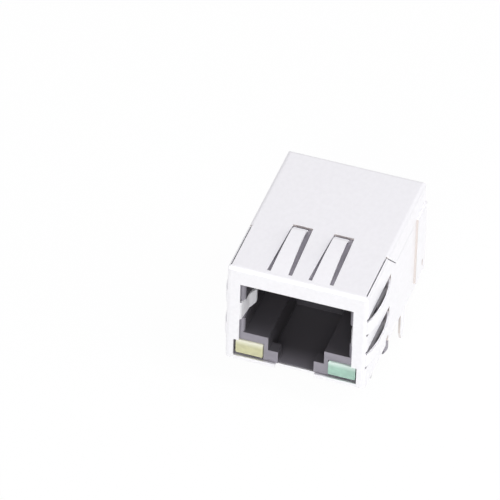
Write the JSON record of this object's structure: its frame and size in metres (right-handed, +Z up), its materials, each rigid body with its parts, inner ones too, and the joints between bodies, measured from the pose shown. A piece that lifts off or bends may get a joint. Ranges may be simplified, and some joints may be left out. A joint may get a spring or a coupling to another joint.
{
  "type": "rj45 board jack",
  "caption": "Right-angle modular jack for a circuit board: latch-down port in a folded sheet shield with grounding springs, indicator lamps and a built-in line filter.",
  "frame": {"origin": "on the board's top face, half way between the locating posts", "axes": "+X across the port, +Y from the port to the rear, +Z up from the board"},
  "size_m": [0.0174, 0.021, 0.0179],
  "materials": {
    "housing_plastic": "glass-filled black plastic, satin moulded faces",
    "carrier_plastic": "black plastic insert",
    "shield_metal": "bright nickel-plated sheet",
    "yellow_lens": "diffuse pale yellow lamp body",
    "green_lens": "diffuse pale green lamp body",
    "lamp_lead": "tinned lamp lead",
    "contact_gold": "gold-plated spring wire",
    "tinned_pin": "tin-plated pin",
    "board_laminate": "green laminate",
    "capacitor_body": "tan ceramic",
    "ferrite": "dark grey ferrite",
    "winding_wire": "enamelled copper wire",
    "resistor_body": "black chip resistor"
  },
  "bodies": {
    "root": {"housing": "housing_plastic", "pin_carrier": "carrier_plastic", "contact_carrier": "carrier_plastic", "shield": "shield_metal", "yellow_lamp": "yellow_lens", "green_lamp": "green_lens", "yellow_lead_outer": "lamp_lead", "yellow_lead_inner": "lamp_lead", "green_lead_inner": "lamp_lead", "green_lead_outer": "lamp_lead", "contact_1": "contact_gold", "contact_2": "contact_gold", "contact_3": "contact_gold", "contact_4": "contact_gold", "contact_5": "contact_gold", "contact_6": "contact_gold", "contact_7": "contact_gold", "contact_8": "contact_gold", "signal_pin_1": "tinned_pin", "signal_pin_2": "tinned_pin", "signal_pin_3": "tinned_pin", "signal_pin_4": "tinned_pin", "signal_pin_5": "tinned_pin", "signal_pin_6": "tinned_pin", "signal_pin_7": "tinned_pin", "signal_pin_8": "tinned_pin", "filter_board": "board_laminate", "high_voltage_capacitor": "capacitor_body", "toroid_core_1": "ferrite", "toroid_core_2": "ferrite", "toroid_core_3": "ferrite", "toroid_core_4": "ferrite", "toroid_winding_1": "winding_wire", "toroid_winding_2": "winding_wire", "toroid_winding_3": "winding_wire", "toroid_winding_4": "winding_wire", "resistor_1": "resistor_body", "resistor_2": "resistor_body", "resistor_3": "resistor_body", "resistor_4": "resistor_body"}
  },
  "joints": []
}
